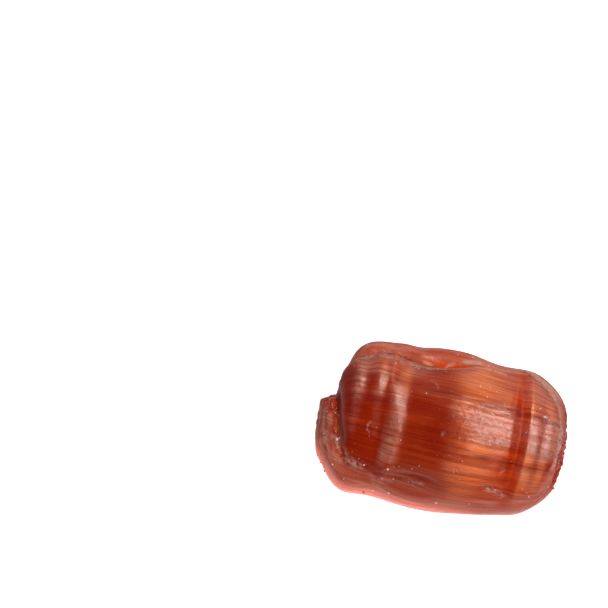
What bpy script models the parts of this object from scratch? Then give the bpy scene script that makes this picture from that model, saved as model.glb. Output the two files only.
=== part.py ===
"""A barrel-shaped hard candy: one solid of pulled, boiled sugar, pressed between two dies.

Each die left the print of half a barrel, with hoops near both ends, one print above and one below. The
dies did not close on the rope, so a belt of candy stands out between the two prints all the way round. At
the left the belt runs on past the upper print as a pinched lobe. The ends are rough where the dies cut the
rope.

The candy lies on its lower print. +X runs along the barrel, +Y to the far side and +Z up, with the origin
at the middle of the bounding box's underside. The skin is where skin_field is zero: each piece of that
field is negative inside its own form and counts roughly the distance to it. Metres.
"""

import math

import bmesh
import bpy
import numpy as np
from mathutils import Vector, noise

MM = 0.001

# Driving dimensions.
HEIGHT = 13.2 * MM

# The prints: half a barrel each, on a flattened circle, lowest at both ends.
BELLY_RISE = HEIGHT / 2
BELLY_MIDDLE = 0.6 * MM
BELLY_DROP = 1.5 * MM
BELLY_HALF_LENGTH = 11.4 * MM
PRINT_FLATNESS = 1.09
# Where the edges of a print reach further out: place along X, share of the flatness, half width.
FAR_REACHES = ((-6.2 * MM, 0.13, 1.7 * MM), (2.5 * MM, 0.04, 2.5 * MM), (8.2 * MM, 0.15, 1.6 * MM))
NEAR_REACHES = ((-7.2 * MM, 0.05, 2.6 * MM),)
# A print's profile along its crest, with its hoops: where each run begins, and its fall towards +X in
# degrees.
RUNS = (
    (-14.0 * MM, -38),
    (-8.85 * MM, 6),
    (-7.75 * MM, -27),
    (-6.90 * MM, 6),
    (-5.75 * MM, -24),
    (-5.00 * MM, 6.5),
    (-3.60 * MM, -2),
    (0.6 * MM, 1.0),
    (1.6 * MM, 3.2),
    (3.5 * MM, 5),
    (6.0 * MM, 7.5),
    (7.3 * MM, 32),
    (7.75 * MM, -15),
    (8.6 * MM, 7),
    (9.7 * MM, 22),
    (9.95 * MM, 7),
    (11.5 * MM, 30),
)
RUN_BLEND = 0.28 * MM
PROFILE_END = 14.0 * MM
PROFILE_STEP = 0.01 * MM
HOOP_BOW = 0.6 * MM
# The hoops fade out towards the belt: from full to nothing at these shares of the way up the barrel.
HOOPS_FULL_ABOVE = 0.50
HOOPS_GONE_BELOW = 0.15
# Where the dies cut the prints off at the left: place on the axis, slant towards +Y, and slope away from
# the axis.
UPPER_CUT = (-10.6 * MM, -0.20, 0.08)
LOWER_CUT = (-10.6 * MM, 0.06, 0.05)
CUT_ROUNDING = 0.8 * MM
# The two hoops at the left are worn towards the near side: the last place along X where they are wholly
# worn, the first where they aren't at all, full above and worn below this Y, and the share of their height
# that is worn away.
WORN_HOOPS = (-5.6 * MM, -3.8 * MM, 1.8 * MM, -1.6 * MM, 0.75)
# The upper print is pressed askew at its left end: how far its crest lies towards +Y up to the first place
# along X, and the place where it is back in the middle.
CREST_SHIFT = 1.8 * MM
CREST_PLACES = (-5.9 * MM, -4.9 * MM)
CREST_POWER = 4
# All round, the prints stop short of the candy's outline by this share of their height.
PRINT_DRAFT = 0.10
# The dies closed out of line: how far each print lies along X and towards +Y.
UPPER_SHIFT = (0.0, -0.45 * MM)
LOWER_SHIFT = (-0.7 * MM, 0.25 * MM)

# The belt: a superellipsoid with a wavy outline.
BELT_LEFT = 12.52 * MM
BELT_RIGHT = 12.5 * MM
BELT_HALF_WIDTH = 8.05 * MM
BELT_ABOVE = 4.6 * MM
BELT_BELOW = 4.7 * MM
BELT_FAR_LEFT_POWER = 3.6
BELT_NEAR_LEFT_POWER = 3.3
BELT_RIGHT_POWER = 2.8
BELT_SECTION_POWER = 2.6
# The waists and swellings of the outline: place along X, height, half width.
FAR_WAVES = (
    (-8.9 * MM, 0.52 * MM, 2.0 * MM),
    (-3.3 * MM, -0.25 * MM, 1.2 * MM),
    (4.8 * MM, -0.60 * MM, 2.4 * MM),
    (10.0 * MM, 0.24 * MM, 1.6 * MM),
)
NEAR_WAVES = (
    (-9.3 * MM, 0.85 * MM, 2.1 * MM),
    (-0.1 * MM, 0.40 * MM, 3.9 * MM),
    (9.4 * MM, 0.66 * MM, 2.1 * MM),
)
# The far half of the left end stops short, which leaves the near half standing out as a lobe.
LOBE_EDGE = 1.2 * MM
LOBE_EDGE_RUN = 1.3 * MM
LOBE_REACH = 1.45 * MM

# The crease between a print and the belt: how far it is sunk, and how wide its fillet is, at these places
# along X.
CREASE_PLACES = (-3.0 * MM, 1.5 * MM)
CREASE_DEPTHS = (0.26 * MM, 0.06 * MM)
CREASE_FILLETS = (0.2 * MM, 1.0 * MM)
CREASE_WIDTH = 0.32 * MM

# Hollows, each an ellipsoid scooped out: its middle, its half sizes, and how round its rim is.
HOLLOWS = (
    ((-0.5 * MM, 6.30 * MM, 3.85 * MM), (3.1 * MM, 0.90 * MM, 1.10 * MM), 0.15 * MM),
    ((-2.2 * MM, -6.05 * MM, 4.25 * MM), (2.3 * MM, 0.40 * MM, 0.50 * MM), 0.15 * MM),
    ((6.2 * MM, -5.85 * MM, 4.15 * MM), (1.5 * MM, 0.40 * MM, 0.45 * MM), 0.15 * MM),
)

# Relief: slow swells all over, and crags where the ends were cut.
SWELL_SIZE = 5.0 * MM
SWELL_DEPTH = 0.07 * MM
CRAG_SIZE = 1.8 * MM
CRAGS = (
    (-10.9 * MM, 0.42 * MM, 0.9 * MM),
    (12.4 * MM, 0.36 * MM, 0.7 * MM),
)

# The flat that the candy rests on.
FLAT_DEPTH = 0.42 * MM

# Facets. The skin is first a capsule about X, whose straight part ends where its caps begin.
CAPSULE_LEFT = -9.2 * MM
CAPSULE_RIGHT = 10.8 * MM
CAPSULE_RADIUS = 4.0 * MM
CAP_RINGS = 16
STRAIGHT_RINGS = 53
HOOP_CROWDING = 1.4
HOOP_REACH = 1.1 * MM
STEEP_FALL = 5
SEGMENTS = 64
BELT_CROWDING = 0.12
SEAM_CROWDING = 0.09
FARTHEST_SKIN = 12.0 * MM
HALVINGS = 26

COLOUR = (0.235, 0.035, 0.009, 1.0)
ROUGHNESS = 0.25


def bell(distance, half_width):
    return math.exp(-((distance / half_width) ** 2))


def bells(x, table):
    """The sum of a table's bells at x: rows of place, height and half width."""
    return sum(height * bell(x - place, half_width) for place, height, half_width in table)


def eased(share):
    """0 up to 0 and 1 from 1 on, with a smooth run between."""
    share = min(max(share, 0.0), 1.0)
    return share * share * (3.0 - 2.0 * share)


def soft_min(first, second, blend):
    """The smaller of two fields, with a fillet of the blend's width where they meet."""
    share = max(blend - abs(first - second), 0.0) / blend
    return min(first, second) - share * share * blend / 4.0


def soft_max(first, second, blend):
    return -soft_min(-first, -second, blend)


def plan_share(x, y):
    """How far out a point is in plan: 1 on the candy's outline. The lobe reaches further than the rest."""
    if x > 0.0:
        half_length, power = BELT_RIGHT, BELT_RIGHT_POWER
    else:
        half_length = BELT_LEFT - LOBE_REACH * eased((y - LOBE_EDGE) / LOBE_EDGE_RUN + 0.5)
        power = BELT_FAR_LEFT_POWER if y > LOBE_EDGE else BELT_NEAR_LEFT_POWER
    half_width = BELT_HALF_WIDTH + bells(x, FAR_WAVES if y > 0.0 else NEAR_WAVES)
    return (abs(x / half_length) ** power + abs(y / half_width) ** power) ** (1.0 / power)


def belt_field(x, y, z):
    """The belt: full at mid height, and rounded off above and below."""
    upright = abs(z) / (BELT_ABOVE if z > 0.0 else BELT_BELOW)
    power = BELT_SECTION_POWER
    return ((plan_share(x, y) ** power + upright**power) ** (1.0 / power) - 1.0) * BELT_ABOVE


def crest_profile():
    """The crest's height over the axis against x: the runs' slopes, eased into each other and added up."""
    x = np.arange(-PROFILE_END, PROFILE_END, PROFILE_STEP)
    begins, falls = np.transpose(RUNS)
    slope = falls[np.searchsorted(begins, x, side="right") - 1]
    reach = round(RUN_BLEND / PROFILE_STEP)
    weights = np.hanning(2 * reach + 1)
    slope = np.convolve(np.pad(slope, reach, mode="edge"), weights / weights.sum(), "valid")
    height = -np.cumsum(np.tan(np.radians(slope))) * PROFILE_STEP
    return x, height + BELLY_RISE - np.interp(0.0, x, height)


CREST = crest_profile()


def barrel_radius(x, y, rise):
    """The radius that a die pressed at x: the crest's profile on top, and a plain belly towards the belt."""
    belly = BELLY_RISE - BELLY_DROP * ((x - BELLY_MIDDLE) / BELLY_HALF_LENGTH) ** 2
    strength = eased((rise - HOOPS_GONE_BELOW) / (HOOPS_FULL_ABOVE - HOOPS_GONE_BELOW))
    last, first, full, worn, share = WORN_HOOPS
    strength *= 1.0 - share * eased((first - x) / (first - last)) * eased((full - y) / (full - worn))
    return belly + strength * (float(np.interp(x, *CREST)) - belly)


def print_field(x, y, z):
    """One die's half barrel: the upper one above the middle, and the lower one, out of line with it."""
    place, slant, slope = UPPER_CUT if z > 0.0 else LOWER_CUT
    shift = UPPER_SHIFT if z > 0.0 else LOWER_SHIFT
    beyond_cut = place + slant * y + slope * abs(z) - x
    beyond_outline = (plan_share(x, y) - 1.0) * BELT_RIGHT + PRINT_DRAFT * abs(z)
    x -= shift[0]
    y -= shift[1]
    flatness = PRINT_FLATNESS + bells(x, FAR_REACHES if y > 0.0 else NEAR_REACHES)
    if z > 0.0:
        rise = z / math.hypot(y / flatness, z)
        askew, straight = CREST_PLACES
        y -= CREST_SHIFT * eased((straight - x) / (straight - askew)) * rise**CREST_POWER
    distance = math.hypot(y / flatness, z)
    rise = abs(z) / max(distance, 1e-9)
    body = distance - barrel_radius(x - HOOP_BOW * (rise**2 - 1.0), y, rise)
    return soft_max(body, max(beyond_cut, beyond_outline), CUT_ROUNDING)


def hollow_field(point, middle, half_sizes):
    """Negative inside the ellipsoid that was scooped out."""
    shares = [(along - centre) / half for along, centre, half in zip(point, middle, half_sizes)]
    return (math.hypot(*shares) - 1.0) * min(half_sizes)


def skin_field(point):
    """The whole candy: both prints and the belt joined, less the hollows."""
    pressed, belt = print_field(*point), belt_field(*point)
    sunk, fillet = (np.interp(point[0], CREASE_PLACES, rows) for rows in (CREASE_DEPTHS, CREASE_FILLETS))
    field = soft_min(pressed, belt, fillet) + sunk * bell(pressed - belt, CREASE_WIDTH)
    for middle, half_sizes, rim in HOLLOWS:
        field = soft_max(field, -hollow_field(point, middle, half_sizes), rim)
    return field


def on_skin(start, direction):
    """The point of the skin straight out from start, found by halving."""
    near, far = 0.0, FARTHEST_SKIN
    for _ in range(HALVINGS):
        middle = (near + far) / 2
        if skin_field(start + middle * direction) < 0.0:
            near = middle
        else:
            far = middle
    return start + near * direction


def relief(point):
    """Slow swells over the whole skin, and crags at the cut ends."""
    swell = SWELL_DEPTH * noise.noise(point / SWELL_SIZE)
    rough = bells(point.x, CRAGS)
    return swell - rough * abs(noise.turbulence(point / CRAG_SIZE, 1, False))


def straight_places():
    """Where the rings lie along the capsule's straight part: closer together at the hoops."""
    x = np.linspace(CAPSULE_LEFT, CAPSULE_RIGHT, 1 + round((CAPSULE_RIGHT - CAPSULE_LEFT) / PROFILE_STEP))
    steep = [begin for begin, fall in RUNS if abs(fall) > STEEP_FALL]
    near_hoop = sum(np.exp(-(((x - begin) / HOOP_REACH) ** 2)) for begin in steep)
    reached = np.cumsum(1.0 + HOOP_CROWDING * np.minimum(near_hoop, 1.0))
    reached = (reached - reached[0]) / (reached[-1] - reached[0])
    return np.interp(np.linspace(0.0, 1.0, STRAIGHT_RINGS), reached, x)


def capsule_profile():
    """The capsule's outline from its left pole to its right one, as (x, radius) pairs."""
    quarter = [0.5 * math.pi * step / CAP_RINGS for step in range(CAP_RINGS)]
    left = [(CAPSULE_LEFT - CAPSULE_RADIUS * math.cos(a), CAPSULE_RADIUS * math.sin(a)) for a in quarter]
    middle = [(x, CAPSULE_RADIUS) for x in straight_places()]
    right = [(CAPSULE_RIGHT + CAPSULE_RADIUS * math.cos(a), CAPSULE_RADIUS * math.sin(a)) for a in quarter]
    return left + middle + right[::-1]


def turned_capsule():
    """The capsule's outline turned about X by a Screw modifier, as a mesh."""
    outline = bmesh.new()
    points = [outline.verts.new((x, radius, 0.0)) for x, radius in capsule_profile()]
    for before, after in zip(points, points[1:]):
        outline.edges.new((before, after))
    mesh = bpy.data.meshes.new("profile")
    outline.to_mesh(mesh)
    outline.free()
    profile = bpy.data.objects.new("profile", mesh)
    bpy.context.scene.collection.objects.link(profile)
    screw = profile.modifiers.new("turn", "SCREW")
    screw.axis = "X"
    screw.steps = screw.render_steps = SEGMENTS
    screw.use_merge_vertices = True
    screw.merge_threshold = 1e-6
    graph = bpy.context.evaluated_depsgraph_get()
    turned = bpy.data.meshes.new_from_object(profile.evaluated_get(graph))
    bpy.data.objects.remove(profile)
    bpy.data.meshes.remove(mesh)
    return turned


def crowded(direction):
    """The same direction turned about X, so that points lie closer together at the belt and the creases."""
    angle = math.atan2(direction.z, direction.y)
    angle += SEAM_CROWDING * math.sin(4 * angle) - BELT_CROWDING * math.sin(2 * angle)
    across = math.hypot(direction.y, direction.z)
    return Vector((direction.x, across * math.cos(angle), across * math.sin(angle)))


def press(mesh):
    """Moves each point of the capsule straight out to the candy's skin, and lays the flat."""
    shape = bmesh.new()
    shape.from_mesh(mesh)
    for vert in shape.verts:
        centre = Vector((min(max(vert.co.x, CAPSULE_LEFT), CAPSULE_RIGHT), 0.0, 0.0))
        direction = crowded((vert.co - centre).normalized())
        point = on_skin(centre, direction)
        vert.co = point + relief(point) * direction
    lowest = min(vert.co.z for vert in shape.verts) + FLAT_DEPTH
    for vert in shape.verts:
        vert.co.z = max(vert.co.z, lowest)
    bmesh.ops.recalc_face_normals(shape, faces=shape.faces)
    shape.to_mesh(mesh)
    shape.free()


def centre_on_base(mesh):
    """Moves the mesh so that the origin is at the middle of its bounding box's underside."""
    corners = np.array([vert.co for vert in mesh.vertices])
    low, high = corners.min(axis=0), corners.max(axis=0)
    base = Vector(((low[0] + high[0]) / 2, (low[1] + high[1]) / 2, low[2]))
    for vert in mesh.vertices:
        vert.co -= base


def boiled_sugar():
    material = bpy.data.materials.new("boiled_sugar")
    material.use_nodes = True
    shader = material.node_tree.nodes["Principled BSDF"]
    shader.inputs["Base Color"].default_value = COLOUR
    shader.inputs["Roughness"].default_value = ROUGHNESS
    shader.inputs["Metallic"].default_value = 0.0
    return material


def main():
    for old in list(bpy.data.objects):
        bpy.data.objects.remove(old)
    parts = bpy.data.collections.new("barrel_candy")
    bpy.context.scene.collection.children.link(parts)
    mesh = turned_capsule()
    press(mesh)
    centre_on_base(mesh)
    mesh.name = "candy"
    mesh.materials.clear()
    mesh.materials.append(boiled_sugar())
    mesh.shade_smooth()
    parts.objects.link(bpy.data.objects.new("candy", mesh))


main()
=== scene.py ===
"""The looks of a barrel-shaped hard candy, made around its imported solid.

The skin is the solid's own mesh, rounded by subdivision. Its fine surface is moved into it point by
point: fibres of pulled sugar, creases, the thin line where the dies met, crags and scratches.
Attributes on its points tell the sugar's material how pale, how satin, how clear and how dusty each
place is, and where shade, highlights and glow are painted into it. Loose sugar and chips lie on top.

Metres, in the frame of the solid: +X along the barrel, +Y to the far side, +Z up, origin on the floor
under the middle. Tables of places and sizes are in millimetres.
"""

import math
import random

import bmesh
import bpy
import numpy as np
from mathutils import Matrix, Vector, noise


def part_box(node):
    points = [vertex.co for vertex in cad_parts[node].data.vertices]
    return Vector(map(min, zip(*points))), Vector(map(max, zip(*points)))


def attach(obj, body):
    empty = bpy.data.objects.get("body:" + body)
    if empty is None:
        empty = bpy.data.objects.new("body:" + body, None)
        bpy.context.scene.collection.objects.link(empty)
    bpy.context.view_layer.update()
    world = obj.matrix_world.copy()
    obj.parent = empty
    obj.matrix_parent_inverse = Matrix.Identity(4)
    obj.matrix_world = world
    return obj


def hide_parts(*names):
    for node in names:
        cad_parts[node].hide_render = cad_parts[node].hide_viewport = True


MM = 0.001

# The photograph's camera: where the candy's middle lies in the frame, and the pixels per millimetre.
FRAME_PIXELS = 608
CANDY_PIXEL = (441.5, 430.2)
PIXELS_PER_MM = 9.9
CAMERA_DISTANCE = 250 * MM
CAMERA_ELEVATION = math.radians(80)
CAMERA_ROLL = math.radians(9.75)
SENSOR_WIDTH = 36.0

SUBDIVISIONS = 2
# Points lower than this rest on the floor, and stay where they are.
RESTING = 0.02

# The barrel's axis across the candy, its middle height, and its radius, for measuring round it from the
# crest.
AXIS_Y = -0.45
AXIS_Z = 6.2
BARREL_RADIUS = 6.9

# The fibres turn a little round the barrel on their way along it: this far per millimetre.
TWIST = 0.07

# Fibres that stand out, paler or darker: place round the barrel from the crest towards +Y, half width,
# tone.
FIBRES = (
    (5.2, 0.55, 0.6),
    (4.2, 0.15, 0.4),
    (3.30, 0.26, -0.8),
    (2.90, 0.10, 0.6),
    (2.7, 0.08, -0.7),
    (1.8, 0.40, 0.5),
    (1.0, 0.10, -0.5),
    (0.4, 0.30, 0.6),
    (-0.8, 0.22, -0.6),
    (-1.7, 0.30, 0.9),
    (-2.95, 0.36, -0.8),
    (-3.6, 0.10, -0.5),
    (-4.0, 0.40, 1.0),
    (-5.8, 0.45, 0.5),
    (-6.7, 0.25, -0.6),
)

# Creases pressed along the top: place round the barrel, begin and end along X, depth, half width.
CREASES = (
    (3.40, -2.2, 12.0, 0.035, 0.08),
    (3.00, -2.4, 12.0, 0.025, 0.07),
    (2.65, -1.0, 9.0, 0.03, 0.05),
    (-2.6, 3.0, 11.0, 0.04, 0.07),
)
# Each fades in and out over this length, and its painted shade is at its darkest from this depth on.
CREASE_FADE = 1.2
CREASE_DARKEST = 0.035

# The thin line where the dies met the belt: its height on the near and far sides and how much higher it
# lies at the right end, its waves, how far it stands out, and its half width.
FLASH_NEAR = 8.0
FLASH_FAR = 9.1
FLASH_LIFT = 0.9
FLASH_WAVE = 0.45
FLASH_RISE = 0.05
FLASH_WIDTH = 0.11

# How high the fine surface stands: wide and fine fibres on the prints, the belt's ripples, the crags of
# broken sugar, the crumbly edges, the chipped places and the scratches.
WIDE_FIBRES = 0.014
FINE_FIBRES = 0.009
BELT_RIPPLES = 0.045
CRAGS = 0.30
CRUMBLY_EDGES = 0.05
CHIPPED = 0.12
SCRATCHED = 0.012

# The hoops' crests, whitened as painted highlight: a path in plan, how white, and the half width.
CREST_HIGHLIGHTS = (
    (((-8.7, 3.8), (-8.65, 2.4), (-8.7, 1.2)), 1.15, 0.58),
    (((-8.7, 0.4), (-8.8, -2.2)), 0.35, 0.45),
    (((-6.55, 4.1), (-6.6, 2.8), (-6.75, 1.5)), 0.8, 0.58),
    (((-6.7, 0.6), (-6.5, -2.2)), 0.25, 0.45),
    (((-5.0, 2.4), (-4.6, 1.0), (-4.55, -0.5), (-4.7, -2.4)), 1.1, 0.68),
    (((-4.8, -3.4), (-5.3, -4.8)), 0.5, 0.48),
)

# Seams where the print was folded into the belt, as paths in plan, and the crumbly edges beside them.
SEAMS = (
    (
        (-11.6, 0.6), (-11.0, -1.0), (-10.6, -3.0), (-9.9, -4.5),
        (-8.8, -5.4), (-7.2, -5.9), (-5.0, -6.0), (-3.2, -6.1),
    ),
    ((-10.7, 0.2), (-10.3, -2.0), (-9.9, -3.6), (-9.2, -4.6), (-8.2, -5.2), (-6.6, -5.5)),
    ((-10.2, 4.6), (-9.2, 5.6), (-7.9, 6.1), (-5.6, 6.3), (-4.2, 6.0)),
)
SEAM_DEPTH = 0.10
SEAM_WIDTH = 0.13
EDGES = (
    ((-10.5, -3.0), (-9.7, -4.4), (-8.7, -5.1), (-7.4, -5.6)),
    ((-9.5, 5.0), (-8.6, 5.6), (-6.8, 5.8), (-4.9, 5.5), (-3.8, 5.2)),
)
EDGE_WIDTH = 0.34

# The groove beside the right hoops: its place along X at the crest, how far it bows back, and its half
# width.
GROOVE = (7.58, 0.6, 0.47)
# The step between the second and the third hoop from the left: its place along X and its half width.
STEP = (-5.35, 0.45)

# Fine pale ridges: along the near edge of the clear hollow, and where the print ends at the right.
PRINT_END = (
    (7.4, 6.9), (8.8, 6.1), (9.9, 5.2), (10.7, 4.2), (11.3, 2.8),
    (11.6, 1.3), (11.75, 0.0), (11.65, -1.6), (11.2, -2.9),
)
RIM_LINES = (
    ((-3.6, 5.3), (-2.7, 5.25), (-1.0, 5.35), (0.6, 5.75), (2.3, 6.2), (4.0, 6.3), (5.4, 6.0)),
    PRINT_END,
)
RIM_WIDTH = 0.10
# A dark line runs inside the print's end: this far back along X and Y, with this half width.
INNER_LINE = (0.32, 0.08, 0.11)
# The thin dark line across the ridge at the right end.
END_SPLIT = ((10.15, 2.3), (10.0, 1.2), (9.8, -0.2), (9.7, -1.7))
SPLIT_WIDTH = 0.09

# Patches in plan, here and below: middle, half sizes along and across, turn in degrees.
# The clear hollow on the far side, and the glints in it, painted as pale reflections.
WINDOW = ((-0.6, 6.35), (3.3, 1.05), -2)
GLINTS = (
    ((-2.45, 5.85), (0.55, 0.20), -12),
    ((-0.25, 6.10), (0.60, 0.13), 35),
    ((1.9, 6.75), (1.0, 0.28), 4),
)
# Chipped along the near edge, and crumbled at the left end.
CHIPS = (
    ((-1.6, -6.15), (0.9, 0.14), -9),
    ((6.2, -5.85), (1.5, 0.30), -12),
)
CRUMBLED = (
    ((-10.7, -1.2), (0.45, 2.4), 8),
    ((-9.6, -4.4), (0.9, 0.5), -45),
)
# How much of the sugar's colour the film takes, where it lies as haze on the upper side, where it is
# thinner, and where painted shade makes the sugar darker and duller instead.
FILM_WEIGHT = 0.19
HAZE = (
    ((4.6, 4.8), (4.2, 1.6), -6),
    ((9.8, 4.6), (2.6, 2.6), 0),
    ((9.6, -3.6), (1.7, 1.5), 0),
    ((-4.9, -3.9), (0.8, 1.1), 0),
    ((-6.0, 5.0), (3.6, 1.6), 0),
)
FAR_END_HAZE = ((9.6, 4.6), (1.6, 1.8), 0)
THIN_HAZE = (
    ((-0.6, 3.2), (3.6, 1.4), 0),
    ((9.2, -2.6), (1.2, 1.6), 0),
    FAR_END_HAZE,
    ((0.0, -5.9), (4.0, 1.0), -4),
)
SHADE = (
    ((0.6, -1.7), (2.2, 2.0), 0),
    ((3.0, -3.5), (2.5, 0.5), 4),
    ((9.6, -3.05), (1.8, 0.4), 4),
    ((6.6, -3.9), (0.6, 1.4), 0),
    ((6.9, 2.6), (0.6, 1.6), 0),
)
# The two patches at the right where the soft box's highlight falls, partly dusty and partly whitened as
# painted highlight, and a bar of painted highlight at the left edge of the second.
WHITE_PATCH = ((5.4, 0.5), (3.0, 2.3), 0)
END_PATCH = ((10.2, 0.1), (1.9, 2.4), 0)
END_HIGHLIGHT_BAR = ((9.3, -0.2), (0.35, 1.8), 0)
# The right end's rough strip begins here along X, and the left end's rough face here.
END_STRIP = 12.0
LEFT_FACE = -10.6
# Scratches: begin and end in plan, half width.
SCRATCHES = (
    ((-1.97, 3.89), (-0.92, 2.94), 0.06),
    ((0.10, -1.80), (0.43, -1.12), 0.09),
    ((-7.3, -2.0), (-6.9, -1.2), 0.08),
    ((-7.4, -2.1), (-6.9, -2.5), 0.06),
    ((6.3, -4.4), (6.9, -3.7), 0.06),
)

# Crumbs that can be told apart: place along X, place along Y, size.
MAIN_CRUMBS = (
    (9.80, 2.15, 0.36),
    (9.2, 2.9, 0.16),
    (-4.6, -5.5, 0.34),
    (-5.7, -7.4, 0.24),
    (-4.15, -7.5, 0.24),
    (-7.6, -4.9, 0.14),
    (-7.0, -5.4, 0.18),
    (-10.2, -5.7, 0.18),
    (-3.55, -5.15, 0.14),
    (-4.0, -5.2, 0.12),
    (9.6, -5.6, 0.18),
    (0.7, -7.7, 0.22),
    (-2.1, 2.2, 0.16),
    (-10.1, -3.2, 0.26),
    (8.2, 0.2, 0.14),
)
# Clear chips of the candy where it was cut, in the same way.
MAIN_CHIPS = (
    (-11.75, 0.30, 0.50),
    (-11.50, 0.05, 0.36),
    (-11.30, -0.60, 0.30),
    (-10.90, 0.00, 0.30),
    (-10.75, -0.90, 0.34),
    (-10.60, -2.20, 0.26),
    (-9.40, -4.80, 0.28),
    (11.95, -3.4, 0.45),
    (12.05, -2.6, 0.38),
    (11.75, -4.0, 0.34),
    (12.15, 0.2, 0.30),
)
# The others: how many, their smallest and largest sizes, and the seed they are drawn from.
OTHER_CRUMBS = (320, (0.04, 0.15), 7)
OTHER_CHIPS = (130, (0.08, 0.30), 12)
# Those chips lie within this distance of the middle along X.
CHIP_REACH = 12.1
# The middle of each crumb and chip lies this part of its size above the skin.
CRUMB_LIFT = 0.15

# The sugar's colours: its dark and pale fibres, the painted shade in its hollows and its dark lines, where
# it is clear and where light comes through as painted light, the film (partly painted light) and the dust
# on it, its painted glow, what it reflects, and the crumbs and chips.
DARK_SUGAR = (0.30, 0.0024, 0.0006, 1.0)
PALE_SUGAR = (0.92, 0.075, 0.006, 1.0)
SHADE_AND_LINE_SUGAR = (0.24, 0.009, 0.004, 1.0)
CLEAR_SUGAR = (0.85, 0.090, 0.006, 1.0)
LIT_EDGE = (1.0, 0.20, 0.13, 1.0)
FILM = (0.88, 0.47, 0.34, 1.0)
DUST = (0.84, 0.51, 0.42, 1.0)
PAINTED_GLOW = (0.42, 0.080, 0.065, 1.0)
NO_PAINTED_GLOW = (0.0, 0.0, 0.0, 1.0)
SATIN = (1.0, 0.36, 0.10, 1.0)
NO_SATIN = (0.12, 0.06, 0.04, 1.0)
CRUMB_COLOUR = (0.93, 0.70, 0.62, 1.0)
CHIP_COLOUR = (0.60, 0.035, 0.005, 1.0)

# The white floor: its size in metres, how strongly it shines at the candy from the near and the far
# side, how far from the middle that changes, and how bright the camera sees it.
FLOOR_RADIUS = 3.0
FLOOR_NEAR = 0.72
FLOOR_FAR = 0.15
FLOOR_CHANGE = 8 * MM
FLOOR_SEEN = 1.02

# Soft boxes overhead: name, how far each leans along X and Y in degrees, distance, width and length in
# metres, radiance.
SOFT_BOXES = (
    ("box_wide", 13.5, -5, 0.5, 0.15, 1.6, 1.45),
    ("box_bright", 13.5, 17, 0.48, 0.145, 0.58, 4.9),
)


def skin_mesh(node):
    """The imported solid's mesh with its triangles joined to quads, then subdivided."""
    shape = bmesh.new()
    shape.from_mesh(node.data)
    bmesh.ops.remove_doubles(shape, verts=shape.verts, dist=1e-6)
    bmesh.ops.join_triangles(
        shape,
        faces=shape.faces,
        angle_face_threshold=math.radians(60),
        angle_shape_threshold=math.radians(60),
    )
    mesh = bpy.data.meshes.new("candy_skin")
    shape.to_mesh(mesh)
    shape.free()
    cage = bpy.data.objects.new("cage", mesh)
    bpy.context.scene.collection.objects.link(cage)
    rounding = cage.modifiers.new("rounding", "SUBSURF")
    rounding.levels = rounding.render_levels = SUBDIVISIONS
    graph = bpy.context.evaluated_depsgraph_get()
    skin = bpy.data.meshes.new_from_object(cage.evaluated_get(graph))
    bpy.data.objects.remove(cage)
    bpy.data.meshes.remove(mesh)
    skin.name = "candy_skin"
    skin.shade_smooth()
    return skin


def bell(distance, half_width):
    return np.exp(-((distance / half_width) ** 2))


def eased(share):
    share = np.clip(share, 0.0, 1.0)
    return share * share * (3.0 - 2.0 * share)


def over(value, limit, run):
    """0 up to the limit, and eased to 1 within the run above it."""
    return eased((value - limit) / run)


def under(value, limit, run):
    """0 down to the limit, and eased to 1 within the run below it."""
    return eased((limit - value) / run)


def noises(places, size, seed):
    """Smooth noise between about -1 and 1 at each place, in waves about as long as the size."""
    steps = places / np.asarray(size) + seed
    return np.array([noise.noise(step) for step in steps])


def ridges(places, size, octaves, seed):
    """Sharp-ridged noise between 0 and about 1: what broken sugar looks like."""
    steps = places / np.asarray(size) + seed
    return np.array([noise.turbulence(step, octaves, True) for step in steps])


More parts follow.
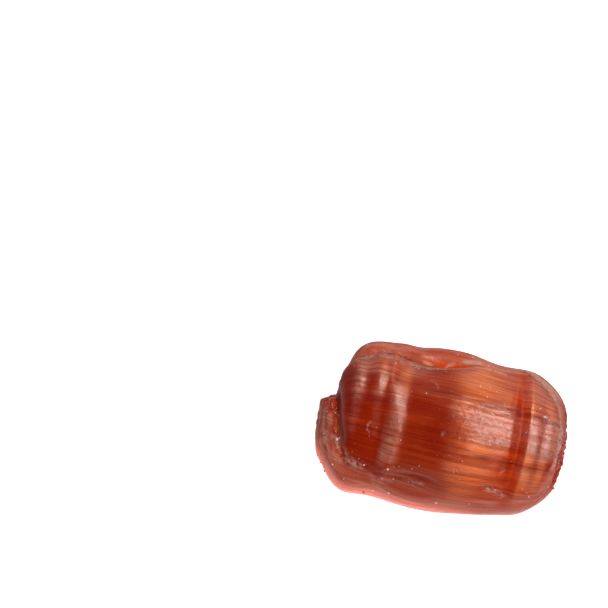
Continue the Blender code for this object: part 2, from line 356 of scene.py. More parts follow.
class Skin:
    """The skin's points in millimetres, and what can be told of each from where it lies."""

    def __init__(self, mesh):
        self.mesh = mesh
        self.points = self.read(mesh.vertices, "co") * 1000
        self.normals = self.read(mesh.vertex_normals, "vector")
        self.edges = np.empty(2 * len(mesh.edges), dtype=int)
        mesh.edges.foreach_get("vertices", self.edges)
        self.edges = self.edges.reshape(-1, 2)
        self.x, self.y, self.z = self.points.T
        angle = np.arctan2(self.y - AXIS_Y, self.z - AXIS_Z) + TWIST / BARREL_RADIUS * self.x
        self.round = BARREL_RADIUS * angle
        self.end = over(np.abs(self.normals[:, 0]), 0.75, 0.2)
        # The same places on a circle, so that what is drawn along the fibres closes underneath. On the
        # ends the fibres are cut across, and the places stay where they are.
        ring = BARREL_RADIUS * np.column_stack((np.sin(angle), np.cos(angle)))
        cut = self.points[:, 1:] - (AXIS_Y, AXIS_Z)
        self.flow = np.column_stack((self.x, ring + self.end[:, None] * (cut - ring)))
        self.top = over(self.z, 8.0, 1.0)
        self.belt = 1.0 - over(np.abs(self.z - AXIS_Z), 2.4, 1.6)
        # The lower part, painted darker as painted shade, and given less satin and film.
        self.below = under(self.z, 6.0, 2.8)
        self.far_left = self.belt * under(self.x, -7.0, 2.0) * over(self.y, 1.5, 2.0)
        # Under the wider surroundings, and under the close ones.
        self.sunk = self.hollowness(40)
        self.dipped = self.hollowness(12)

    @staticmethod
    def read(items, name):
        values = np.empty(3 * len(items))
        items.foreach_get(name, values)
        return values.reshape(-1, 3)

    def averaged(self, values, times):
        """Each point's value mixed with its neighbours', over and over."""
        ends = self.edges.ravel("F")
        others = self.edges[:, ::-1].ravel("F")
        count = np.bincount(ends, minlength=len(values))
        for _ in range(times):
            total = np.bincount(ends, weights=values[others], minlength=len(values))
            values = (values + total) / (1 + count)
        return values

    def spacing(self):
        """The area that each point stands for, in square millimetres: its mean edge length, squared."""
        lengths = np.linalg.norm(self.points[self.edges[:, 0]] - self.points[self.edges[:, 1]], axis=1)
        ends = self.edges.ravel("F")
        return (np.bincount(ends, weights=np.tile(lengths, 2)) / np.bincount(ends)) ** 2

    def hollowness(self, times):
        """How deep each point lies under its surroundings, in tenths of a millimetre.

        More times look further out.
        """
        around = np.column_stack([self.averaged(self.points[:, axis], times) for axis in range(3)])
        return 10.0 * np.sum((around - self.points) * self.normals, axis=1)

    def spot(self, middle, half_sizes, turn):
        """1 in the middle of a patch of the upper side, and 0 well outside it."""
        turn = math.radians(turn)
        along = (self.x - middle[0]) * math.cos(turn) + (self.y - middle[1]) * math.sin(turn)
        across = (self.y - middle[1]) * math.cos(turn) - (self.x - middle[0]) * math.sin(turn)
        distance = np.hypot(along / half_sizes[0], across / half_sizes[1])
        return (1.0 - over(distance, 0.7, 0.6)) * self.top

    def spots(self, patches):
        return np.maximum.reduce([self.spot(*patch) for patch in patches])

    def stroke(self, begin, end, half_width):
        """1 along a thin stroke over the upper side, bent a little like a hair."""
        begin, end = np.array(begin), np.array(end)
        run = end - begin
        length = np.hypot(*run)
        offset = self.points[:, :2] - begin
        share = offset @ run / length**2
        side = (offset @ np.array((-run[1], run[0]))) / length
        bend = 0.12 * length * 4.0 * share * (1.0 - share)
        inside = eased(share / 0.2) * eased((1.0 - share) / 0.2)
        return bell(side - bend, half_width) * inside * self.top

    def path(self, places, half_width):
        """1 along a wandering line through these places of the upper side."""
        here = self.points[:, :2] + 0.12 * noises(self.points, 0.7, 15.0)[:, None]
        nearest = np.full(len(here), np.inf)
        for begin, end in zip(places, places[1:]):
            begin, run = np.array(begin), np.subtract(end, begin)
            share = np.clip((here - begin) @ run / (run @ run), 0.0, 1.0)
            away = here - begin - share[:, None] * run
            nearest = np.minimum(nearest, np.hypot(*away.T))
        return bell(nearest, half_width) * over(self.z, 7.4, 0.6)

    def paths(self, lines, half_width):
        return np.maximum.reduce([self.path(places, half_width) for places in lines])

    def store(self, name, values):
        attribute = self.mesh.attributes.new(name, "FLOAT", "POINT")
        attribute.data.foreach_set("value", np.asarray(values, dtype=np.float32))

    def store_flow(self):
        attribute = self.mesh.attributes.new("flow", "FLOAT_VECTOR", "POINT")
        attribute.data.foreach_set("vector", self.flow.astype(np.float32).ravel())


def mark(skin):
    """Finds where each kind of surface lies, as numbers on the skin's points."""
    marks = {"window": skin.spot(*WINDOW) * eased(0.5 + 1.5 * skin.sunk)}
    marks["glint"] = skin.spots(GLINTS)
    marks["chips"] = skin.spots(CHIPS)
    marks["crumbled"] = skin.spots(CRUMBLED)
    marks["shade"] = skin.spots(SHADE)
    marks["white_patch"] = skin.spot(*WHITE_PATCH)
    marks["end_patch"] = skin.spot(*END_PATCH)
    marks["patch"] = np.maximum(marks["white_patch"], marks["end_patch"])
    marks["crest"] = np.maximum.reduce([white * skin.path(places, half) for places, white, half in CREST_HIGHLIGHTS])
    marks["rim"] = skin.paths(RIM_LINES, RIM_WIDTH)
    back, aside, inner_width = INNER_LINE
    marks["inner"] = skin.path([(x - back, y - aside) for x, y in PRINT_END], inner_width)
    marks["split"] = skin.path(END_SPLIT, SPLIT_WIDTH)
    marks["seam"] = skin.paths(SEAMS, SEAM_WIDTH)
    crumbly = eased(0.5 + 1.2 * noises(skin.points, 0.35, 21.0))
    marks["dusty"] = crumbly * skin.paths(EDGES, EDGE_WIDTH)
    marks["scratch"] = np.maximum.reduce([skin.stroke(*scratch) for scratch in SCRATCHES])
    marks["cut"], marks["crease"] = creases(skin)
    marks["flash"] = flash(skin)
    wander = 0.35 * noises(skin.points, 0.9, 5.0)
    near_half = under(skin.y, 1.8, 1.2) * over(skin.y, -5.0, 1.5)
    strip = eased((skin.x - END_STRIP + 0.45 * near_half + wander) / 0.35)
    left_face = 0.5 * under(skin.x, LEFT_FACE, 0.6)
    marks["rough"] = np.maximum.reduce([marks["crumbled"], strip, left_face])
    marks["broken"] = ridges(skin.points, (0.9, 0.9, 0.9), 3, 11.0) - 0.5
    place, bow, half_width = GROOVE
    groove = bell(skin.x - place + bow * np.sin(skin.round / BARREL_RADIUS) ** 2, half_width)
    step = bell(skin.x - STEP[0], STEP[1]) * over(skin.y, 0.8, 1.0)
    dips = skin.averaged(eased(skin.dipped / 0.24), 5) * skin.top * (1.0 - 0.75 * over(skin.x, 8.9, 0.5))
    marks["grooved"] = np.maximum(dips, np.maximum(groove, step) * skin.top)
    marks["left_print"] = under(skin.x, -8.2, 1.2) * skin.top
    edge = 0.7 - 1.9 * over(skin.x, -5.7, 0.8)
    worn = under(skin.x, -3.2, 0.8) * under(skin.y, edge, 1.5) * skin.top
    marks["worn"] = worn * (1.0 - 0.7 * over(skin.x, -5.6, 0.6))
    marks["right_end"] = over(skin.x, 10.8, 1.2) * under(skin.z, 9.8, 1.0)
    marks["beyond_window"] = over(skin.y, 6.2, 0.5) * bell(skin.x + 0.4, 2.8)
    marks["hollow"] = hollows(skin, marks)
    marks["glow"], marks["shine"] = glows(skin)
    return marks


def creases(skin):
    """Each of the creases: its cut, and the painted shade in it. Both are 0 outside it."""
    cut, dark = np.zeros(len(skin.x)), np.zeros(len(skin.x))
    for place, begin, end, depth, half_width in CREASES:
        drift = 0.05 * noises(np.column_stack((skin.x, skin.x * 0 + place, skin.x * 0)), 2.2, 4.0)
        line = bell(skin.round - place - drift, half_width) * skin.top
        line *= over(skin.x, begin, CREASE_FADE) * under(skin.x, end, CREASE_FADE)
        cut += depth * line
        # Painted shade in each of the creases, darker for deeper ones.
        dark = np.maximum(dark, line * min(depth / CREASE_DARKEST, 1.0))
    return cut, dark


def flash(skin):
    """The thin lines where the dies met, above the belt and as far below it."""
    height = FLASH_WAVE * noises(skin.points, (3.0, 3.0, 9.0), 2.0)
    height += FLASH_NEAR + (FLASH_FAR - FLASH_NEAR) * over(skin.y, -4.0, 8.0)
    height += FLASH_LIFT * over(skin.x, 9.5, 2.0)
    upper = bell(skin.z - height, FLASH_WIDTH)
    lower = bell(2 * AXIS_Z - skin.z - height, FLASH_WIDTH)
    strength = 1.0 + 0.5 * over(skin.x, 9.5, 1.0)
    return strength * np.maximum(upper, lower) * (1.0 - over(skin.sunk, 0.8, 0.8))


def hollows(skin, marks):
    """How dark each place is made: painted shade in what is sunk, in the pits between the crags and in the
    creases, and the dark seam and end lines.
    """
    far_print = over(skin.y, 3.5, 1.0) * under(skin.x, -2.5, 1.0)
    sunk = np.clip(skin.sunk / 2.4, 0.0, 0.55) * (1.0 - 0.6 * far_print)
    pits = marks["rough"] * under(marks["broken"], 0.10, 0.35) * (0.3 + 0.7 * over(skin.z, 6.5, 2.0))
    lines = [0.85 * marks["crease"], 0.5 * marks["seam"], 0.7 * marks["split"], 0.8 * marks["inner"]]
    return np.maximum.reduce([sunk, pits, *lines])


def glows(skin):
    """Light through the thin near edge: where the sugar is paler for it, and where it shines itself."""
    left = 0.5 * under(skin.x, -9.5, 1.5) * under(skin.z, 7.4, 1.0) * under(skin.y, 1.0, 3.0)
    near = (0.7 + 0.5 * under(skin.x, 2.0, 4.0)) * under(skin.y, -1.0, 3.0)
    band = under(skin.z, 8.2, 1.8) * over(skin.z, 4.7, 1.3)
    band *= 0.85 + 0.3 * noises(skin.flow, (9.0, 0.5, 0.5), 35.0)
    glow = np.clip(band * np.maximum(near, left), 0.0, 1.0)
    rim = under(skin.z, 8.6, 1.6) * over(skin.z, 5.2, 1.2) * under(skin.x, 6.5, 7.0)
    return glow, rim * np.clip(under(skin.y, -2.5, 3.0) + 0.6 * left, 0.0, 1.0)


def relief(skin, marks):
    """How far each point moves out of the rounded solid, in millimetres."""
    smooth = 1.0 - np.clip(marks["rough"] + marks["window"] + marks["chips"], 0.0, 1.0)
    wide = noises(skin.flow, (9.0, 0.55, 0.55), 1.0)
    fine = noises(skin.flow, (5.0, 0.22, 0.22), 7.0)
    ripples = noises(skin.points, (3.5, 3.5, 0.34), 3.0)
    chipped = ridges(skin.points, (0.5, 0.35, 0.35), 2, 1.0) - 0.5
    out = smooth * (1.0 - skin.belt) * (WIDE_FIBRES * wide + FINE_FIBRES * fine)
    out += smooth * skin.belt * BELT_RIPPLES * ripples
    out -= marks["cut"] * smooth + SEAM_DEPTH * marks["seam"]
    out += FLASH_RISE * (marks["flash"] * smooth + marks["rim"])
    out += CRAGS * marks["rough"] * (marks["broken"] - 0.35)
    out += CRUMBLY_EDGES * marks["dusty"] * marks["broken"]
    out += CHIPPED * marks["chips"] * chipped
    return out + SCRATCHED * marks["scratch"]


def tones(skin, marks):
    """How pale the sugar is: the fibres, and a slow drift from dark to pale along the barrel, with painted
    light and shade in it.
    """
    fibres = sum(tone * bell(skin.round - place, half) for place, half, tone in FIBRES)
    fibres *= 0.6 + 0.4 * noises(skin.flow, (4.0, 1.2, 1.2), 6.0)
    wide = noises(skin.flow, (14.0, 0.8, 0.8), 8.0)
    fine = noises(skin.flow, (7.0, 0.3, 0.3), 4.0)
    far_print = over(skin.y, 3.4, 1.2)
    right = eased((skin.x - 0.2 + 1.6 * far_print) / 3.0)
    left = under(skin.x, -8.2, 1.2) * (1.0 - skin.belt)
    far = skin.belt * over(skin.y, 3.0, 3.0) * (1.0 - skin.end)
    # Painted light: paler towards the right, where the soft boxes lean, and paler on the belt, more on its
    # far side.
    drift = -0.42 + 0.6 * right + 0.5 * skin.belt * (1.0 - right) * over(skin.x, -12.0, 2.0) + 0.3 * far
    # Painted shade: darker below and in the shade spots; darker too at the left print and the ends.
    drift -= 0.45 * left + 0.15 * skin.far_left + 0.7 * skin.below + 0.25 * marks["shade"] + 0.3 * skin.end
    drift += 0.48 * far_print * under(skin.x, -3.7, 1.0) * skin.top
    drift -= 0.35 * marks["white_patch"] + 0.3 * marks["end_patch"]
    fibres *= (0.22 + 0.55 * right) * (1.0 - skin.belt) * (1.0 - skin.end)
    spread = (0.30 * wide + 0.30 * fine) * (0.7 + 0.3 * right)
    return 0.5 + 0.5 * np.clip(fibres + spread + drift, -1.0, 1.0)


def lessened(values, marks, **shares):
    """The values, less each mark's share of them."""
    for name, share in shares.items():
        values = values * (1.0 - share * marks[name])
    return values


def satin(skin, marks):
    """How strongly the fibres reflect along the barrel."""
    values = lessened(
        1.0 - 0.75 * skin.belt,
        marks,
        window=1.0,
        rough=0.7,
        hollow=0.7,
        worn=0.8,
        grooved=0.97,
        left_print=0.8,
        shade=0.4,
    )
    values *= (1.0 - 0.50 * marks["patch"] - 0.4 * marks["end_patch"]) * (1.0 - 0.7 * skin.below)
    values *= 1.0 - 0.45 * np.clip(marks["crest"], 0.0, 1.0)
    slopes = over(skin.x, 3.2, 2.8) * over(np.abs(skin.y - 0.4), 2.0, 1.4)
    return values * (1.0 - 0.6 * slopes * np.where(skin.y > 0.0, 1.0, under(skin.x, 8.2, 0.6)))


def hoops(skin, marks):
    """Where the left hoops shine: the first, and the third on its near half, more than the rest."""
    right_limit = -3.5 - 0.7 * over(skin.y, 0.5, 1.5)
    left = under(skin.x, right_limit, 0.8) * over(skin.x, -9.5, 0.5) * under(skin.y, 5.2, 0.8)
    third = over(skin.x, -6.6, 0.8) * under(skin.x, -3.6, 0.6)
    third *= under(skin.y, -0.2, 1.0) * over(skin.y, -3.6, 1.2)
    strength = 0.9 + 1.0 * under(skin.x, -7.4, 0.6) + 1.6 * third
    return left * (1.0 - marks["worn"]) * skin.top * strength


def gloss(skin, marks):
    """How much of the clear gloss over the fibres is left."""
    values = lessened(
        np.ones(len(skin.x)),
        marks,
        rough=1.0,
        hollow=0.8,
        worn=0.85,
        grooved=0.97,
        right_end=0.7,
        shade=0.9,
        beyond_window=0.6,
    )
    shiny = hoops(skin, marks)
    scraped = noises(skin.flow, (4.0, 0.2, 0.2), 13.0)
    steep = under(skin.normals[:, 2], 0.60, 0.35) * (1.0 - 0.5 * marks["glow"])
    end_slope = under(skin.x, -9.0, 0.6) * skin.top
    far_edge = under(skin.x, -3.0, 1.0) * over(skin.y, 4.4, 0.8)
    values *= 1.0 + 0.6 * skin.belt + shiny + 0.45 * marks["patch"]
    values *= 1.0 + 0.9 * scraped * np.clip(shiny, 0.0, 1.0)
    values *= (1.0 - 0.8 * steep) * (1.0 - 0.5 * skin.end)
    return values * (1.0 - 0.9 * end_slope) * (1.0 - 0.6 * far_edge)


def dust(skin, marks):
    """How thickly white dust and crushed sugar lie: on crags, edges and scratches, and on the two right
    patches, where it is partly painted highlight.
    """
    crumbly = eased(0.65 + 1.2 * noises(skin.points, 0.16, 31.0))
    peaks = marks["rough"] * over(marks["broken"], 0.20, 0.25)
    peaks *= (0.5 + 0.5 * over(skin.z, 5.5, 1.5)) * (1.0 - 0.7 * marks["crumbled"])
    right_face = over(skin.x, 11.9, 0.3) * over(skin.y, -0.4, 0.8) * over(skin.z, 5.0, 1.0)
    values = peaks + crumbly * (0.7 * marks["chips"] + 0.5 * right_face)
    values += 0.9 * marks["scratch"] + 0.4 * marks["flash"] + 0.8 * marks["dusty"] + 1.6 * marks["rim"]
    # On the two right patches the pale dust is partly painted highlight.
    values += 0.26 * marks["white_patch"] + 0.50 * marks["end_patch"] * (1.0 - marks["grooved"])
    return np.clip(values * (1.0 - 0.8 * marks["crease"]), 0.0, 1.0)


def belt_film(skin, marks):
    """The pale film on the belt, in level contours and partly painted light, more on its far side, and the
    lines drawn along its near left part.
    """
    side = lessened(skin.belt, marks, hollow=1.0, right_end=0.7, glow=0.5, window=1.0, crumbled=1.0)
    # The belt's film is raised as painted light, more on its far side.
    side *= (1.0 + 0.7 * over(skin.y, 2.0, 3.0)) * (1.0 - 0.5 * skin.below)
    side *= 1.0 - 0.35 * over(skin.x, 3.0, 2.0) * under(skin.y, -2.0, 1.0)
    wide_bands = noises(skin.points, (5.0, 5.0, 0.30), 17.0)
    fine_bands = noises(skin.points, (3.0, 3.0, 0.12), 19.0)
    side *= 1.0 + 0.9 * wide_bands + 0.5 * fine_bands
    drawn = skin.belt * over(skin.z, 5.0, 1.0) * under(skin.x, -1.0, 4.0) * under(skin.y, 0.5, 2.0)
    wide_lines = bell(noises(skin.points, (7.0, 7.0, 0.7), 23.0), 0.10)
    fine_lines = bell(noises(skin.points, (5.0, 5.0, 0.5), 27.0), 0.07)
    return FILM_WEIGHT * side + (0.02 + 0.28 * np.maximum(wide_lines, fine_lines)) * drawn


def film(skin, marks):
    """How thick the pale film is: on the belt, as haze on the prints, and as painted highlight on the
    crests, the right patches and the glints.
    """
    haze = lessened(skin.spots(HAZE), marks, window=1.0, crumbled=1.0)
    values = belt_film(skin, marks) + FILM_WEIGHT * haze
    values += 0.07 * skin.spots(THIN_HAZE) + 0.10 * skin.spot(*FAR_END_HAZE)
    values = lessened(values, marks, crease=0.6, shade=0.7, seam=0.6, beyond_window=0.6)
    values *= (1.0 - 0.4 * marks["grooved"] * over(skin.x, 5.0, 1.0)) * (1.0 - 0.3 * skin.far_left)
    # The glints are painted reflections; the left print and the dusty edges get a little film.
    values += 0.7 * marks["glint"] + 0.02 * marks["left_print"] + 0.25 * marks["dusty"]
    # Painted highlight: the bar at the end, and the end patch, whitest towards the right.
    values += 0.15 * skin.spot(*END_HIGHLIGHT_BAR) + (0.06 + 0.20 * over(skin.x, 10.1, 0.4)) * marks["end_patch"]
    # Painted highlight along the hoops' crests.
    values += 0.30 * marks["crest"] * (1.0 + 0.5 * noises(skin.points, 0.25, 33.0))
    return np.clip(values, 0.0, 1.0)


def dress(mesh):
    """Moves the skin's points, and stores what the sugar's material reads from them."""
    skin = Skin(mesh)
    marks = mark(skin)
    moved = skin.points + relief(skin, marks)[:, None] * skin.normals
    resting = skin.z < RESTING
    moved[resting] = skin.points[resting]
    mesh.vertices.foreach_set("co", (moved / 1000).ravel())
    mesh.update()
    skin.store_flow()
    skin.store("tone", tones(skin, marks))
    skin.store("hollow", marks["hollow"])
    skin.store("glow", marks["glow"])
    # Where the near rim gives off its painted glow.
    skin.store("shine", marks["shine"])
    skin.store("satin", satin(skin, marks))
    skin.store("clear", np.maximum(marks["window"], 0.6 * marks["crumbled"]))
    skin.store("rough", marks["rough"])
    skin.store("gloss", gloss(skin, marks))
    skin.store("pale", dust(skin, marks))
    skin.store("film", film(skin, marks))
    skin.store("belt", np.maximum(skin.belt * (1.0 - skin.end), 0.6 * skin.end))
    return skin, marks


class Nodes:
    """Builds a material's nodes, wired as they are made."""

    def __init__(self, name):
        self.material = bpy.data.materials.new(name)
        self.material.use_nodes = True
        self.tree = self.material.node_tree
        self.shader = self.tree.nodes["Principled BSDF"]

    def add(self, kind, settings=(), **inputs):
        node = self.tree.nodes.new("ShaderNode" + kind)
        for name, value in dict(settings).items():
            setattr(node, name, value)
        for name, value in inputs.items():
            self.feed(node.inputs[name.replace("_", " ")], value)
        return node

    def feed(self, socket, value):
        if isinstance(value, bpy.types.NodeSocket):
            self.tree.links.new(value, socket)
        else:
            socket.default_value = value

    def set(self, name, value):
        self.feed(self.shader.inputs[name], value)

    def place(self):
        return self.add("TexCoord").outputs["Object"]

    def stored(self, name):
        return self.add("Attribute", {"attribute_name": name}).outputs["Fac"]

    def noise(self, vector, scale, detail=2.0, roughness=0.5):
        """Noise from 0 to 1, with this many waves in each unit of the vector: one number or three."""
        if isinstance(scale, float):
            scale = (scale, scale, scale)
        spread = self.add("Mapping", Vector=vector, Scale=scale).outputs[0]
        made = self.add("TexNoise", Vector=spread, Scale=1.0, Detail=detail, Roughness=roughness)
        return made.outputs["Fac"]

    def math(self, operation, first, second, clamp=False):
        node = self.add("Math", {"operation": operation, "use_clamp": clamp})
        self.feed(node.inputs[0], first)
        self.feed(node.inputs[1], second)
        return node.outputs[0]

    def plus(self, first, second):
        return self.math("ADD", first, second)

    def times(self, first, second, clamp=False):
        return self.math("MULTIPLY", first, second, clamp)

    def scaled(self, value, factor, offset):
        return self.plus(self.times(value, factor), offset)

    def span(self, value, low, high):
        """The value's place between low and high, as 0 to 1."""
        node = self.add("MapRange", {"interpolation_type": "SMOOTHSTEP"})
        for name, given in (("Value", value), ("From Min", low), ("From Max", high)):
            self.feed(node.inputs[name], given)
        return node.outputs["Result"]

    def mix_value(self, share, first, second):
        node = self.add("Mix", {"data_type": "FLOAT"})
        self.feed(node.inputs[0], share)
        self.feed(node.inputs["A"], first)
        self.feed(node.inputs["B"], second)
        return node.outputs["Result"]

    def mix(self, share, first, second):
        node = self.add("Mix", {"data_type": "RGBA"})
        colours = [socket for socket in node.inputs if socket.type == "RGBA"]
        self.feed(node.inputs[0], share)
        self.feed(colours[0], first)
        self.feed(colours[1], second)
        return [socket for socket in node.outputs if socket.type == "RGBA"][0]


def sugar_material():
    """Pulled sugar: fibres under a clear, lightly dusted gloss."""
    made = Nodes("boiled_sugar")
    made.set("IOR", 2.6)
    made.set("Anisotropic", 1.0)
    made.set("Subsurface Weight", 0.5)
    made.set("Subsurface Radius", (1.0, 0.25, 0.1))
    made.set("Subsurface Scale", 1.2 * MM)
    made.set("Coat Roughness", 0.13)
    # The strength of the painted glow, whose colour is set below.
    made.set("Emission Strength", 1.0)
    made.set("Tangent", made.add("Tangent", {"direction_type": "RADIAL", "axis": "X"}).outputs[0])
    flow = made.add("Attribute", {"attribute_name": "flow"}).outputs["Vector"]
    place = made.place()
    threads = made.noise(flow, (0.12, 3.2, 3.2), 2.0, 0.6)
    hairs = made.noise(flow, (0.3, 8.0, 8.0), 2.0, 0.6)

    streaks = made.span(made.plus(made.times(threads, 0.5), made.times(hairs, 0.5)), 0.36, 0.64)
    streaks = made.mix_value(made.times(made.stored("belt"), 0.45), streaks, 0.5)
    tone = made.times(made.stored("tone"), made.scaled(streaks, 0.8, 0.58), clamp=True)
    colour = made.mix(tone, DARK_SUGAR, PALE_SUGAR)
    # Painted shade in hollows, pits and creases, and the dark fine lines, in one darker colour.
    colour = made.mix(made.stored("hollow"), colour, SHADE_AND_LINE_SUGAR)
    colour = made.mix(made.stored("clear"), colour, CLEAR_SUGAR)
    colour = made.mix(made.stored("glow"), colour, LIT_EDGE)
    colour = made.mix(made.times(made.stored("film"), made.scaled(streaks, 1.2, 0.4)), colour, FILM)
    specks = made.span(made.noise(place, 2600.0), 0.60, 0.72)
    grains = made.span(made.noise(place, 3400.0, 3.0, 0.65), 0.42, 0.58)
    grains = made.plus(made.times(specks, 0.5), made.scaled(grains, 0.45, 0.2))
    dusted = made.times(made.stored("pale"), grains, clamp=True)
    colour = made.mix(made.math("MAXIMUM", dusted, made.times(specks, 0.03)), colour, DUST)
    made.set("Base Color", colour)
    # Painted glow: the near rim gives off light of its own, as light through a thin edge would.
    made.set("Emission Color", made.mix(made.stored("shine"), NO_PAINTED_GLOW, PAINTED_GLOW))

    reflected = made.times(made.stored("satin"), made.scaled(tone, 1.05, 0.12), clamp=True)
    made.set("Specular Tint", made.mix(reflected, NO_SATIN, SATIN))
    ragged = made.times(made.stored("rough"), 0.15)
    made.set("Roughness", made.plus(made.scaled(streaks, 0.08, 0.36), ragged))

    mottle = made.noise(place, 3200.0, 3.0, 0.65)
    lines = made.plus(made.times(hairs, 0.35), made.times(threads, 0.25))
    rubbed = made.span(made.plus(made.times(mottle, 0.4), lines), 0.43, 0.57)
    rubbed = made.times(made.scaled(rubbed, 0.90, 0.12), made.scaled(tone, 0.9, 0.4))
    made.set("Coat Weight", made.times(made.stored("gloss"), rubbed, clamp=True))

    grain = made.noise(place, 5200.0, 3.0, 0.6)
    worn = made.noise(place, 1500.0, 2.0, 0.6)
    height = made.plus(made.plus(made.times(grain, 0.5), worn), made.times(hairs, 0.8))
    for name, strength in (("Coat Normal", 0.3), ("Normal", 0.25)):
        bump = made.add("Bump", Strength=strength, Distance=0.05 * MM, Height=height)
        made.set(name, bump.outputs[0])
    return made.material


def candy(node):
    mesh = skin_mesh(node)
    skin, marks = dress(mesh)
    piece = bpy.data.objects.new("candy_skin", mesh)
    bpy.context.scene.collection.objects.link(piece)
    mesh.materials.clear()
    mesh.materials.append(sugar_material())
    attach(piece, "root")
    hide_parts("candy")
    return skin, marks


def crumb_material(name, colour, roughness, glow):
    """Broken sugar: this colour, down to three quarters of it in places, and giving off this colour as
    painted glow at the given strength.
    """
    made = Nodes(name)
    shade = made.span(made.noise(made.place(), 4000.0), 0.35, 0.65)
    dark = tuple(0.75 * part for part in colour[:3]) + (1.0,)
    made.set("Base Color", made.mix(shade, dark, colour))
    made.set("Roughness", roughness)
    made.set("Emission Color", colour)
    made.set("Emission Strength", glow)
    return made.material


def add_crumb(heap, place, normal, size, draw):
    """One broken grain, partly sunk into the skin."""
    centre = place + normal * CRUMB_LIFT * size
    spin = Matrix.Rotation(draw.uniform(0, math.tau), 4, "Z")
    turn = normal.to_track_quat("Z", "Y").to_matrix().to_4x4() @ spin
    stretch = [size / 2 * draw.uniform(0.65, 1.25) for _ in range(3)]
    spot = Matrix.Translation(centre) @ turn @ Matrix.Diagonal((*stretch, 1.0))
    made = bmesh.ops.create_icosphere(heap, subdivisions=1, radius=1.0, matrix=spot)
    for vert in made["verts"]:
        vert.co = centre + (vert.co - centre) * draw.uniform(0.72, 1.18)


def scatter(name, material, skin, weights, others, fixed):
    """Crumbs on the skin as one mesh: some at fixed places of the upper side, others drawn by weight."""
    count, (smallest, largest), seed = others
    draw = random.Random(seed)
    heap = bmesh.new()
    points = Skin.read(skin.mesh.vertices, "co")
    upper = np.nonzero(skin.z > AXIS_Z)[0]
    for x, y, size in fixed:
        nearest = upper[np.argmin(np.hypot(skin.x[upper] - x, skin.y[upper] - y))]
        add_crumb(heap, Vector(points[nearest]), Vector(skin.normals[nearest]), size * MM, draw)
    chosen = draw.choices(range(len(points)), weights=(weights * skin.spacing()).tolist(), k=count)
    for index in chosen:
        size = smallest + (largest - smallest) * draw.random() ** 3
        add_crumb(heap, Vector(points[index]), Vector(skin.normals[index]), size * MM, draw)
    mesh = bpy.data.meshes.new(name)
    heap.to_mesh(mesh)
    heap.free()
    mesh.materials.append(material)
    piece = bpy.data.objects.new(name, mesh)
    bpy.context.scene.collection.objects.link(piece)
    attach(piece, "root")


def crumbs(skin, marks):
    """Loose sugar on the top and in the hollows, and chips of the candy itself where it was cut."""
    above = over(skin.z, 3.0, 3.0)
    sunk = np.clip(skin.sunk / 2, 0, 1)
    sugar = above * (0.03 + 0.8 * marks["crumbled"] + 0.8 * marks["chips"] + 0.25 * sunk)
    # Crumbs and chips give off a little painted glow.
    white = crumb_material("loose_sugar", CRUMB_COLOUR, 0.45, 0.25)
    scatter("sugar_crumbs", white, skin, sugar, OTHER_CRUMBS, MAIN_CRUMBS)
    cut = above * (marks["rough"] ** 2 + 0.002) * (np.abs(skin.x) < CHIP_REACH)
    red = crumb_material("broken_candy", CHIP_COLOUR, 0.3, 0.12)
    scatter("candy_chips", red, skin, cut, OTHER_CHIPS, MAIN_CHIPS)


def floor():
    """A white table, lit from below: it shines up at the candy more strongly from the near side."""
    bpy.ops.mesh.primitive_circle_add(vertices=96, radius=FLOOR_RADIUS, fill_type="NGON")
    disc = bpy.context.object
    disc.name = "floor"
    made = Nodes("white_floor")
    made.set("Base Color", (0.60, 0.60, 0.60, 1.0))
    made.set("Roughness", 0.8)
    made.set("Emission Color", (1.0, 1.0, 1.0, 1.0))
    across = made.add("SeparateXYZ", Vector=made.place()).outputs["Y"]
    shine = made.mix_value(made.span(across, -FLOOR_CHANGE, FLOOR_CHANGE), FLOOR_NEAR, FLOOR_FAR)
    seen = made.add("LightPath").outputs["Is Camera Ray"]
    made.set("Emission Strength", made.mix_value(seen, shine, FLOOR_SEEN))
    disc.data.materials.append(made.material)


def soft_box(name, lean, reach, distance, width, length, radiance):
    """A rectangular light that faces the candy, leaning from the zenith by these degrees along X and Y."""
    light = bpy.data.lights.new(name, "AREA")
    light.shape = "RECTANGLE"
    light.size = width
    light.size_y = length
    light.energy = radiance * math.pi * width * length
    box = bpy.data.objects.new(name, light)
    bpy.context.scene.collection.objects.link(box)
    depth = Vector((math.tan(math.radians(lean)), math.tan(math.radians(reach)), 1.0)).normalized()
    across = Vector((0.0, 1.0, 0.0)).cross(depth).normalized()
    turn = Matrix((across, depth.cross(across), depth)).transposed()
    box.matrix_world = Matrix.Translation(distance * depth) @ turn.to_4x4()


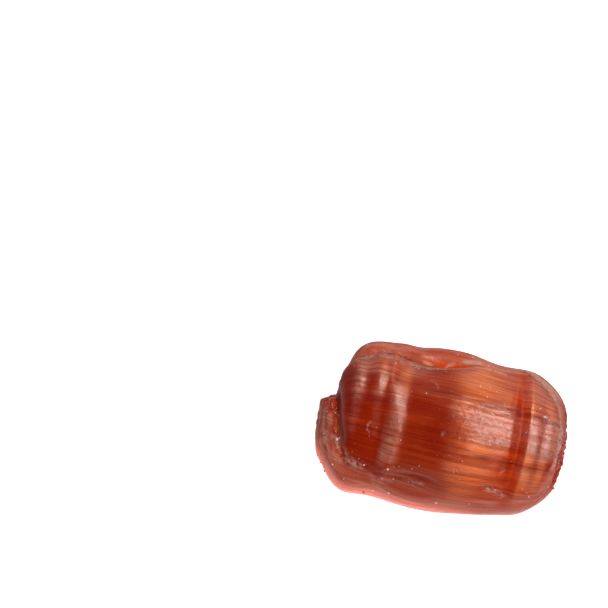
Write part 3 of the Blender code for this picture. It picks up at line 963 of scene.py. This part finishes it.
def studio():
    """A room that is grey low down and dark above, dimmer towards +X, with the soft boxes overhead.

    The camera itself sees white instead of the room.
    """
    world = bpy.data.worlds.new("studio")
    bpy.context.scene.world = world
    world.use_nodes = True
    nodes, links = world.node_tree.nodes, world.node_tree.links
    room = nodes["Background"]
    place = nodes.new("ShaderNodeTexCoord")
    split = nodes.new("ShaderNodeSeparateXYZ")
    links.new(place.outputs["Generated"], split.inputs[0])
    ramp = nodes.new("ShaderNodeValToRGB")
    for stop, height, grey in zip(ramp.color_ramp.elements, (0.05, 0.40), (0.35, 0.003)):
        stop.position = height
        stop.color = (grey, grey, grey, 1)
    links.new(split.outputs["Z"], ramp.inputs["Fac"])
    links.new(ramp.outputs["Color"], room.inputs["Color"])
    side = nodes.new("ShaderNodeMapRange")
    for name, value in (("From Min", 0.0), ("From Max", 0.8), ("To Min", 1.0), ("To Max", 0.2)):
        side.inputs[name].default_value = value
    links.new(split.outputs["X"], side.inputs["Value"])
    links.new(side.outputs[0], room.inputs["Strength"])
    white = nodes.new("ShaderNodeBackground")
    white.inputs["Color"].default_value = (1, 1, 1, 1)
    rays = nodes.new("ShaderNodeLightPath")
    either = nodes.new("ShaderNodeMixShader")
    links.new(rays.outputs["Is Camera Ray"], either.inputs["Fac"])
    links.new(room.outputs[0], either.inputs[1])
    links.new(white.outputs[0], either.inputs[2])
    links.new(either.outputs[0], nodes["World Output"].inputs["Surface"])
    for box in SOFT_BOXES:
        soft_box(*box)


def camera(middle):
    """Looks from the near side, with the candy's middle on its own pixel of the photograph's frame."""
    back = Vector((0.0, -math.cos(CAMERA_ELEVATION), math.sin(CAMERA_ELEVATION)))
    right = Vector((1.0, 0.0, 0.0))
    up = back.cross(right)
    right, up = (Matrix.Rotation(CAMERA_ROLL, 3, back) @ axis for axis in (right, up))
    beside = (CANDY_PIXEL[0] - FRAME_PIXELS / 2) / PIXELS_PER_MM * MM
    below = (CANDY_PIXEL[1] - FRAME_PIXELS / 2) / PIXELS_PER_MM * MM
    place = middle + CAMERA_DISTANCE * back
    aim = middle - beside * right + below * up
    data = bpy.data.cameras.new("camera")
    data.sensor_width = SENSOR_WIDTH
    data.lens = SENSOR_WIDTH * PIXELS_PER_MM * (CAMERA_DISTANCE / MM) / FRAME_PIXELS
    data.clip_start = 10 * MM
    data.clip_end = 10.0
    view = bpy.data.objects.new("camera", data)
    bpy.context.scene.collection.objects.link(view)
    depth = (place - aim).normalized()
    side = up.cross(depth).normalized()
    turn = Matrix((side, depth.cross(side), depth)).transposed()
    view.matrix_world = Matrix.Translation(place) @ turn.to_4x4()
    bpy.context.scene.camera = view


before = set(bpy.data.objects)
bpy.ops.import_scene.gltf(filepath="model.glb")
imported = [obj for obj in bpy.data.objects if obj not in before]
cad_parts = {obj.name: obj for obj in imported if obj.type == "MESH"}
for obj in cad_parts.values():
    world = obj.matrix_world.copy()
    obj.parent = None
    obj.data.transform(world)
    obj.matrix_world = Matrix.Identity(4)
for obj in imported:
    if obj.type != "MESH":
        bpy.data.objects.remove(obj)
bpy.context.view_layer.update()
low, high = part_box("candy")
skin, marks = candy(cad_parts["candy"])
crumbs(skin, marks)
floor()
studio()
camera(Vector((0.0, 0.0, (low.z + high.z) / 2)))
bpy.context.scene.view_settings.view_transform = "Standard"
